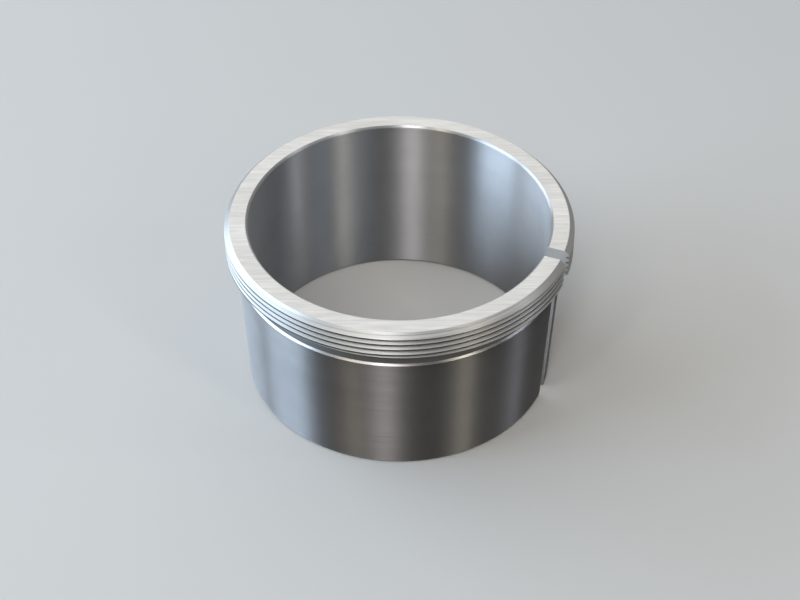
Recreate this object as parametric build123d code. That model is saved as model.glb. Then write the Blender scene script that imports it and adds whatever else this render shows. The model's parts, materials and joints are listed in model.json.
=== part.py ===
from build123d import *
import math
import os

# Withdrawal sleeve for a tapered-bore rolling bearing: one steel ring, turned, ground and slit.
# Frame: origin on the bore axis in the plane of the thin end's face, +Z along the axis towards
# the threaded end, +X through the middle of the slit.  Millimetres.

# Driving dimensions
BORE_R = 47.5               # bore that slides on the shaft
LENGTH = 59.0               # thin end to threaded face
SEAT_TAPER = 1 / 12         # diameter change per length of the ground cone
THIN_END_R = 49.73          # cone radius at z = 0
SEAT_TOP_Z = 43.6           # where the ground cone ends
NECK_R = 51.0               # relief between the cone and the thread
COLLAR_Z = 49.75            # underside of the threaded collar
THREAD_R = 54.85            # crests of the M110 x 2 thread
THREAD_PITCH = 2.0          # right-hand, 60 degree form
THREAD_DEPTH = 1.23
THREAD_ROOT_FLAT = 0.08
CREST_Z = 55.6              # height of one crest at the middle of the slit
FACE_R = 53.2               # outer edge of the threaded face
LEAD_ANGLE = 45             # lead-in chamfer of the thread, degrees from the axis
SLIT_W = 4.4                # slit through the wall, over the whole length
BORE_CHAMFER = 0.6
THIN_END_CHAMFER = 0.5
NECK_CHAMFER = 0.55         # between the cone and the neck

# Worked out from them
SEAT_TOP_R = THIN_END_R + SEAT_TOP_Z * SEAT_TAPER / 2
LEAD_LENGTH = (THREAD_R - FACE_R) / math.tan(math.radians(LEAD_ANGLE))
ROOT_R = THREAD_R - THREAD_DEPTH
FLANK = math.tan(math.radians(30))


def half_section():
    """Corners of the ring's half section before threading, as (radius, height)."""
    thin_r = THIN_END_R + THIN_END_CHAMFER * SEAT_TAPER / 2
    return [
        (BORE_R + BORE_CHAMFER, 0),
        (thin_r - THIN_END_CHAMFER, 0),
        (thin_r, THIN_END_CHAMFER),
        (SEAT_TOP_R, SEAT_TOP_Z),
        (NECK_R, SEAT_TOP_Z + NECK_CHAMFER),
        (NECK_R, COLLAR_Z),
        (THREAD_R, COLLAR_Z),
        (THREAD_R, LENGTH - LEAD_LENGTH),
        (FACE_R, LENGTH),
        (BORE_R + BORE_CHAMFER, LENGTH),
        (BORE_R, LENGTH - BORE_CHAMFER),
        (BORE_R, BORE_CHAMFER),
    ]


def turned_blank():
    """The ring as turned and ground, without its thread or slit."""
    with BuildPart() as blank:
        with BuildSketch(Plane.XZ):
            with BuildLine():
                Polyline(*half_section(), close=True)
            make_face()
        revolve(axis=Axis.Z)
    return blank.part


def thread_groove():
    """The V groove of the thread, swept along its helix past both ends of the collar."""
    turns_below = 5
    turns = 8
    start_z = CREST_Z + THREAD_PITCH / 2 - turns_below * THREAD_PITCH
    past_crest = 0.6
    outer_r = THREAD_R + past_crest
    root_half = THREAD_ROOT_FLAT / 2
    outer_half = root_half + (THREAD_DEPTH + past_crest) * FLANK
    helix = Helix(
        pitch=THREAD_PITCH,
        height=turns * THREAD_PITCH,
        radius=ROOT_R,
        center=(0, 0, start_z),
    )
    with BuildSketch(Plane.XZ) as section:
        Polygon(
            (ROOT_R, start_z - root_half),
            (outer_r, start_z - outer_half),
            (outer_r, start_z + outer_half),
            (ROOT_R, start_z + root_half),
            align=None,
        )
    return sweep(section.sketch, path=helix, is_frenet=True)


def slit():
    """The slot through the wall on the +X side."""
    clearance = 20
    slot = Box(THREAD_R - BORE_R + clearance, SLIT_W, LENGTH + clearance)
    return Pos((BORE_R + THREAD_R) / 2, 0, LENGTH / 2) * slot


def withdrawal_sleeve():
    """The finished ring."""
    return turned_blank() - thread_groove() - slit()


os.makedirs("parts", exist_ok=True)
sleeve = withdrawal_sleeve()
export_step(sleeve, "parts/withdrawal_sleeve.step")
print("solids", len(sleeve.solids()), "volume_mm3", round(sleeve.volume), "valid", sleeve.is_valid)
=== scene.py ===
"""Withdrawal sleeve: one slit, threaded steel ring on a pale studio floor."""

import json
import math

import bmesh
import bpy
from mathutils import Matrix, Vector


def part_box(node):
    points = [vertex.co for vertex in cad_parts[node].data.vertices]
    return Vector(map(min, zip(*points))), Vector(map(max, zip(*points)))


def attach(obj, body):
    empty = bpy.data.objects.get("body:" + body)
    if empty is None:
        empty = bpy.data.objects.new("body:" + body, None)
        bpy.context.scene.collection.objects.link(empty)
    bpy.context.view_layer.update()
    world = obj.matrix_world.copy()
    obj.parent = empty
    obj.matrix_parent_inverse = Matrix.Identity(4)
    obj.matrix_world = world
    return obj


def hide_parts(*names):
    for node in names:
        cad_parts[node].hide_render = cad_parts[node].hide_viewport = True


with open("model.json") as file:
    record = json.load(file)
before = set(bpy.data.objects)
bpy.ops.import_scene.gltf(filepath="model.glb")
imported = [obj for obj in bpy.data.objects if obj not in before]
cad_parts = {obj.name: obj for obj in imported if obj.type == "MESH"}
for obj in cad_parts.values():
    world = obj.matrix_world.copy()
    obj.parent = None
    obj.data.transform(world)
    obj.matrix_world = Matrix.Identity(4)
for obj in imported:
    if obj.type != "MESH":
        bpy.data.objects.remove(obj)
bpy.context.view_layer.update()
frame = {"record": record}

NODE = "withdrawal_sleeve"
MM = 0.001                              # metres in a millimetre
CAMERA_AZ = -69.25                      # degrees from +X, the middle of the slit


# ---------------------------------------------------------------- the sleeve's shape, in mm

def mount(name):
    """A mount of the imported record."""
    return next(m for m in frame["record"]["mounts"] if m["name"] == name)


low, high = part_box(NODE)
LENGTH = (high.z - low.z) / MM
BORE_R = mount("shaft_bore")["dims"]["r_mm"]
THREAD_R = mount("nut_thread")["dims"]["r_mm"]
THREAD_PITCH = 2.0
THREAD_DEPTH = 1.23
THREAD_ROOT_HALF = 0.04                 # half the flat at the bottom of the groove
CREST_Z = 55.6                          # height of one crest at the middle of the slit
FACE_R = 53.2                           # outer edge of the threaded face
COLLAR_Z = 49.75                        # underside of the threaded collar
NECK_R = 51.0
SEAT_TAPER = 1 / 12                     # diameter change per length of the ground cone
SEAT_TOP_Z = 43.6
THIN_END_R = 49.73                      # cone radius at z = 0
SLIT_W = 4.4
BORE_CHAMFER = 0.6
THIN_END_CHAMFER = 0.5
NECK_CHAMFER = 0.55
NECK_FILLET = 0.6                       # between the neck and the collar's underside
EDGE_BREAK = 0.09                       # broken edges of the turned corners
COLUMNS = 720                           # steps round the ring
GROOVES = 6                             # turns of the groove from the face down past the collar
SHARP_ANGLE = 7                         # degrees between faces that shade apart
HAIR = 0.001                            # a length too small to matter
WELD = 2e-7                             # metres

FLANK = math.tan(math.radians(30))
LEAD = math.tan(math.radians(45))
ROOT_R = THREAD_R - THREAD_DEPTH
SEAT_TOP = (THIN_END_R + SEAT_TOP_Z * SEAT_TAPER / 2, SEAT_TOP_Z)
LEAD_END_Z = LENGTH - (THREAD_R - FACE_R) / LEAD
ROOT_END_Z = LENGTH - (ROOT_R - FACE_R) / LEAD

SEAT, NECK, CREST, FLANKS, FACE, BORE, WALL = range(7)


def blank_radius(z):
    """Outside radius of the threaded collar before its groove is cut."""
    return min(THREAD_R, FACE_R + (LENGTH - z) * LEAD)


def groove(centre):
    """Upper edge, two root corners and lower edge of the groove, centred at a height."""
    if centre - THREAD_ROOT_HALF >= ROOT_END_Z:
        return [(ROOT_R, ROOT_END_Z)] * 4
    lead_reach = FACE_R + LENGTH * LEAD - ROOT_R
    top = centre + THREAD_ROOT_HALF + THREAD_DEPTH * FLANK
    if top > LEAD_END_Z:
        top = (centre + THREAD_ROOT_HALF + lead_reach * FLANK) / (1 + LEAD * FLANK)
    bottom = centre - THREAD_ROOT_HALF - THREAD_DEPTH * FLANK
    if bottom > LEAD_END_Z:
        bottom = (centre - THREAD_ROOT_HALF - lead_reach * FLANK) / (1 - LEAD * FLANK)
    upper = (blank_radius(top), top)
    root_top = (ROOT_R, centre + THREAD_ROOT_HALF)
    if root_top[1] > ROOT_END_Z:
        root_top = (ROOT_R, ROOT_END_Z)
        upper = root_top
    return [upper, root_top, (ROOT_R, centre - THREAD_ROOT_HALF), (blank_radius(bottom), bottom)]


def thread_side(turn):
    """The collar's outside from the top down, at a helix turn of 0 to 1."""
    points = [(FACE_R, LENGTH)]
    last = LENGTH
    for k in range(GROOVES):
        cut = groove(CREST_Z + THREAD_PITCH * (1.5 + turn - k))
        crest = min(max(LEAD_END_Z, cut[0][1]), last)
        points.append((blank_radius(crest), crest))
        points += cut
        last = cut[3][1]
    end = (blank_radius(COLLAR_Z), COLLAR_Z)
    for (r0, z0), (r1, z1) in zip(points, points[1:]):
        if z0 >= COLLAR_Z > z1:
            end = (r0 + (r1 - r0) * (z0 - COLLAR_Z) / (z0 - z1), COLLAR_Z)
    return [p if p[1] > COLLAR_Z else end for p in points] + [end]


def broken(before, corner, after):
    """A turned corner with its edge lightly broken: two points in place of one."""
    c = Vector(corner)
    return [tuple(c + (Vector(p) - c).normalized() * EDGE_BREAK) for p in (before, after)]


def seat_and_neck(thin_in):
    """The outside from the thin end's face up to the collar, as ((radius, height), material)."""
    thin_r = THIN_END_R + THIN_END_CHAMFER * SEAT_TAPER / 2
    thin = (THIN_END_R - THIN_END_CHAMFER, 0)
    thin_top = (thin_r, THIN_END_CHAMFER)
    points = [(p, SEAT) for p in broken(thin_in, thin, thin_top)]
    points += [(p, SEAT) for p in broken(thin, thin_top, SEAT_TOP)]
    points += [(SEAT_TOP, NECK), ((NECK_R, SEAT_TOP_Z + NECK_CHAMFER), NECK)]
    for degrees in (0, 30, 60, 90):
        across = NECK_FILLET * (1 - math.cos(math.radians(degrees)))
        down = NECK_FILLET * (1 - math.sin(math.radians(degrees)))
        points.append(((NECK_R + across, COLLAR_Z - down), NECK))
    return points


def collar(turn, face_in):
    """The thread and its lead-in, from the collar's underside up to the face's outer edge."""
    side = thread_side(turn)[::-1]
    points = []
    for p, q in zip(side, side[1:]):
        on_crest = min(p[0], q[0]) > THREAD_R - HAIR
        points.append((p, CREST if on_crest else FLANKS))
    outer, inner = broken(side[-2], side[-1], face_in)
    return points + [(outer, FLANKS), (inner, FACE)]


def bore(thin_in, face_in):
    """The bore with its chamfers, from the threaded face down to the thin end's face."""
    bore_top = (BORE_R, LENGTH - BORE_CHAMFER)
    bore_low = (BORE_R, BORE_CHAMFER)
    face_out = (FACE_R, LENGTH)
    thin_out = (THIN_END_R - THIN_END_CHAMFER, 0)
    points = [(p, BORE) for p in broken(face_out, face_in, bore_top)]
    points += [(p, BORE) for p in broken(face_in, bore_top, bore_low)]
    points += [(p, BORE) for p in broken(bore_top, bore_low, thin_in)]
    points += [(p, WALL) for p in broken(bore_low, thin_in, thin_out)]
    return points


def half_section(turn):
    """The ring's closed half section at a helix turn, as ((radius, height), material)."""
    thin_in = (BORE_R + BORE_CHAMFER, 0)
    face_in = (BORE_R + BORE_CHAMFER, LENGTH)
    return seat_and_neck(thin_in) + collar(turn, face_in) + bore(thin_in, face_in)


def sleeve_mesh():
    """The whole ring: one column of section points for each step round, closed at the slit."""
    bm = bmesh.new()
    columns = []
    slots = []
    for i in range(COLUMNS + 1):
        turn = i / COLUMNS
        section = half_section(turn)
        column = []
        for (r, z), _ in section:
            edge = math.asin(SLIT_W / 2 / r)
            angle = edge + turn * (2 * math.pi - 2 * edge)
            column.append(bm.verts.new(Vector((r * math.cos(angle), r * math.sin(angle), z)) * MM))
        columns.append(column)
        slots.append([slot for _, slot in section])
    for near, far, row in zip(columns, columns[1:], slots):
        for j, slot in enumerate(row):
            k = (j + 1) % len(row)
            quad = bm.faces.new((near[j], near[k], far[k], far[j]))
            quad.material_index = slot
            quad.smooth = True
    for column in (columns[0], columns[-1][::-1]):
        wall = bm.faces.new(column)
        wall.material_index = WALL
    bmesh.ops.remove_doubles(bm, verts=bm.verts, dist=WELD)
    bmesh.ops.recalc_face_normals(bm, faces=bm.faces)
    mesh = bpy.data.meshes.new("sleeve_body")
    bm.to_mesh(mesh)
    bm.free()
    mesh.set_sharp_from_angle(angle=math.radians(SHARP_ANGLE))
    return mesh


# ---------------------------------------------------------------- materials

def steel(name, anisotropy=0.0, metallic=1.0):
    """A bare steel material: returns it with its tree, shader and object coordinates."""
    mat = bpy.data.materials.new(name)
    mat.use_nodes = True
    tree = mat.node_tree
    shader = tree.nodes["Principled BSDF"]
    shader.inputs["Metallic"].default_value = metallic
    shader.inputs["Anisotropic"].default_value = anisotropy
    if anisotropy:
        upright_streaks = 0.25
        shader.inputs["Anisotropic Rotation"].default_value = upright_streaks
        tangent = tree.nodes.new("ShaderNodeTangent")
        tangent.direction_type = "RADIAL"
        tangent.axis = "Z"
        tree.links.new(tangent.outputs[0], shader.inputs["Tangent"])
    coords = tree.nodes.new("ShaderNodeTexCoord").outputs["Object"]
    return mat, tree, shader, coords


def stretched_noise(tree, coords, per_metre, detail, turn=0.0):
    """Noise with its own scale along each axis: turning lines, scratches or broad stains."""
    mapping = tree.nodes.new("ShaderNodeMapping")
    mapping.vector_type = "TEXTURE"
    tree.links.new(coords, mapping.inputs["Vector"])
    mapping.inputs["Rotation"].default_value = (0, 0, turn)
    mapping.inputs["Scale"].default_value = [1 / v for v in per_metre]
    noise = tree.nodes.new("ShaderNodeTexNoise")
    tree.links.new(mapping.outputs[0], noise.inputs["Vector"])
    noise.inputs["Scale"].default_value = 1.0
    noise.inputs["Detail"].default_value = detail
    noise.inputs["Roughness"].default_value = 0.6
    return noise.outputs["Fac"]


def remap(tree, value, spread, low_out, high_out):
    """Noise values within a spread either side of a half, mapped linearly to a range, clamped."""
    n = tree.nodes.new("ShaderNodeMapRange")
    tree.links.new(value, n.inputs["Value"])
    n.inputs["From Min"].default_value = 0.5 - spread
    n.inputs["From Max"].default_value = 0.5 + spread
    n.inputs["To Min"].default_value = low_out
    n.inputs["To Max"].default_value = high_out
    return n.outputs[0]


def tint(tree, value, dark, light):
    """A colour between two tones, by a 0 to 1 value."""
    mix = tree.nodes.new("ShaderNodeMix")
    mix.data_type = "RGBA"
    tree.links.new(value, mix.inputs["Factor"])
    for socket in mix.inputs:
        if socket.type == "RGBA":
            tone = dark if socket.name == "A" else light
            socket.default_value = (*tone, 1)
    return next(s for s in mix.outputs if s.type == "RGBA")


def blend(tree, first, second, share):
    """A share of the second value over the first."""
    mix = tree.nodes.new("ShaderNodeMix")
    mix.inputs["Factor"].default_value = share
    tree.links.new(first, mix.inputs["A"])
    tree.links.new(second, mix.inputs["B"])
    return mix.outputs[0]


def bump(tree, shader, height, strength, distance):
    """Fine relief on a shader's normal."""
    n = tree.nodes.new("ShaderNodeBump")
    n.inputs["Strength"].default_value = strength
    n.inputs["Distance"].default_value = distance
    tree.links.new(height, n.inputs["Height"])
    tree.links.new(n.outputs[0], shader.inputs["Normal"])


def finish_surface(tree, shader, fine, broad, share, dark, light, rough):
    """Colour from the broad noise with a share of the fine, roughness from the fine alone."""
    tone = remap(tree, blend(tree, broad, fine, share), 0.15, 0, 1)
    tree.links.new(tint(tree, tone, dark, light), shader.inputs["Base Color"])
    tree.links.new(remap(tree, fine, 0.2, *rough), shader.inputs["Roughness"])


def turned(name, dark, light, rough, anisotropy, lines, relief, metallic=1.0):
    """Turned or ground steel: fine lines round the axis, so many a metre, over faint stains."""
    mat, tree, shader, coords = steel(name, anisotropy, metallic)
    fine = stretched_noise(tree, coords, per_metre=(6, 6, lines), detail=3.0)
    broad = stretched_noise(tree, coords, per_metre=(35, 35, 22), detail=4.0)
    finish_surface(tree, shader, fine, broad, share=0.25, dark=dark, light=light, rough=rough)
    bump(tree, shader, fine, strength=relief, distance=2e-5)
    return mat


def face_steel():
    """The flat end: matte, finely scratched in one straight direction."""
    mat, tree, shader, coords = steel("end_face_steel")
    lay = math.radians(CAMERA_AZ + 90)
    fine = stretched_noise(tree, coords, per_metre=(70, 1300, 70), detail=3.0, turn=lay)
    broad = stretched_noise(tree, coords, per_metre=(40, 90, 40), detail=3.0, turn=lay)
    finish_surface(tree, shader, fine, broad, share=0.6,
                   dark=(0.76, 0.75, 0.73), light=(0.99, 0.98, 0.96), rough=(0.42, 0.6))
    bump(tree, shader, fine, strength=0.6, distance=3e-5)
    return mat


def sleeve_materials():
    """One steel for each finish, in the order of the material numbers; the crest tone holds
    painted shade, the neck and slit tones painted light.
    """
    return [
        turned("seat_ground_steel", (0.50, 0.49, 0.49), (0.58, 0.57, 0.565),
               rough=(0.36, 0.44), anisotropy=1.0, lines=3600, relief=0.07),
        # neck: a lighter tone to make up for the collar's shade over it, painted light
        turned("neck_turned_painted_light_steel", (0.60, 0.59, 0.59), (0.70, 0.69, 0.69),
               rough=(0.36, 0.46), anisotropy=0.7, lines=1800, relief=0.2),
        # crest flats: a darker tone than the flanks, painted shade for the dark floor they would
        # mirror
        turned("thread_crest_painted_shade_steel", (0.42, 0.42, 0.42), (0.52, 0.52, 0.51),
               rough=(0.30, 0.40), anisotropy=0.3, lines=3000, relief=0.12),
        turned("thread_flank_steel", (0.62, 0.62, 0.61), (0.71, 0.71, 0.70),
               rough=(0.42, 0.50), anisotropy=0.8, lines=3000, relief=0.12, metallic=0.7),
        face_steel(),
        turned("bore_ground_steel", (0.60, 0.60, 0.61), (0.72, 0.72, 0.73),
               rough=(0.36, 0.44), anisotropy=1.0, lines=3600, relief=0.07),
        # slit walls: a near-white tone so they read light in the narrow, dimly lit slit, painted
        # light
        turned("slit_milled_painted_light_steel", (0.88, 0.87, 0.86), (0.98, 0.97, 0.96),
               rough=(0.6, 0.7), anisotropy=0.0, lines=1500, relief=0.25),
    ]


def build_sleeve():
    """The visible ring, which stands for the CAD node."""
    mesh = sleeve_mesh()
    piece = bpy.data.objects.new("sleeve_body", mesh)
    bpy.context.scene.collection.objects.link(piece)
    for mat in sleeve_materials():
        mesh.materials.append(mat)
    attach(piece, "root")
    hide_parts(NODE)


# ---------------------------------------------------------------- studio, in metres

def from_camera(azimuth, distance, height):
    """A point round the sleeve, azimuth 0 on the camera's side and positive to its right."""
    a = math.radians(CAMERA_AZ + azimuth)
    return Vector((distance * math.cos(a), distance * math.sin(a), height))


def aim(obj, target):
    """Points an object's -Z axis at a place."""
    obj.rotation_mode = "QUATERNION"
    obj.rotation_quaternion = (target - obj.location).to_track_quat("-Z", "Y")


def soft_light(name, azimuth, distance, height, size, watts, colour):
    """A rectangular softbox, placed round the sleeve and aimed at it."""
    data = bpy.data.lights.new(name, "AREA")
    data.shape = "RECTANGLE"
    data.size, data.size_y = size
    data.energy = watts
    data.color = colour
    lamp = bpy.data.objects.new(name, data)
    lamp.location = from_camera(azimuth, distance, height)
    bpy.context.scene.collection.objects.link(lamp)
    aim(lamp, Vector((0, 0, 0.03)))


def build_floor():
    """A plain pale floor just under the sleeve, which the steel doesn't mirror."""
    bm = bmesh.new()
    bmesh.ops.create_grid(bm, x_segments=2, y_segments=2, size=4.0)
    mesh = bpy.data.meshes.new("studio_floor")
    bm.to_mesh(mesh)
    bm.free()
    floor = bpy.data.objects.new("studio_floor", mesh)
    gap = 0.00005
    floor.location.z = low.z - gap
    bpy.context.scene.collection.objects.link(floor)
    mat = bpy.data.materials.new("floor_paint")
    mat.use_nodes = True
    shader = mat.node_tree.nodes["Principled BSDF"]
    shader.inputs["Base Color"].default_value = (0.56, 0.56, 0.55, 1)
    shader.inputs["Roughness"].default_value = 0.9
    shader.inputs["Specular IOR Level"].default_value = 0.1
    mesh.materials.append(mat)
    floor.visible_glossy = False


def build_lights():
    """Dim surroundings, a broad ceiling, two window panes and narrow lamps for the streaks."""
    world = bpy.data.worlds.new("studio_world")
    bpy.context.scene.world = world
    world.use_nodes = True
    world.node_tree.nodes["Background"].inputs["Color"].default_value = (0.06, 0.059, 0.058, 1)
    daylight = (0.64, 0.81, 1.0)
    # name, azimuth, distance, height, size, watts, colour
    soft_light("ceiling", -155, 0.5, 1.3, (3.0, 3.0), 22, (1.0, 0.99, 0.97))
    soft_light("window_left", -118, 1.4, 0.55, (1.1, 0.9), 12, daylight)
    soft_light("window_right", -76, 1.3, 0.55, (0.75, 0.9), 12.5, daylight)
    soft_light("front_lamp", -11, 1.0, 1.25, (0.26, 0.7), 5.5, (1.0, 0.96, 0.95))
    soft_light("warm_lamp", 45, 1.1, 0.9, (0.12, 0.6), 1.8, (1.0, 0.95, 0.80))
    soft_light("left_lamp", -35, 1.1, 1.2, (0.08, 0.4), 1.6, (1.0, 0.93, 0.72))
    soft_light("side_lamp", 82, 1.1, 0.6, (0.06, 0.5), 0.7, (0.85, 0.9, 1.0))


def build_camera():
    """The camera, looking down on the sleeve with the slit to its right."""
    elevation = math.radians(41.93)
    distance = 0.5623
    to_the_right = from_camera(90, 0.0002, 0)
    target = Vector((0, 0, 0.0238)) + to_the_right
    data = bpy.data.cameras.new("studio_camera")
    data.sensor_width = 36
    data.lens = 77.54
    data.clip_start = 0.02
    camera = bpy.data.objects.new("studio_camera", data)
    back = from_camera(0, distance * math.cos(elevation), distance * math.sin(elevation))
    camera.location = target + back
    bpy.context.scene.collection.objects.link(camera)
    aim(camera, target)
    bpy.context.scene.camera = camera


build_sleeve()
build_floor()
build_lights()
build_camera()
bpy.context.scene.view_settings.view_transform = "Standard"
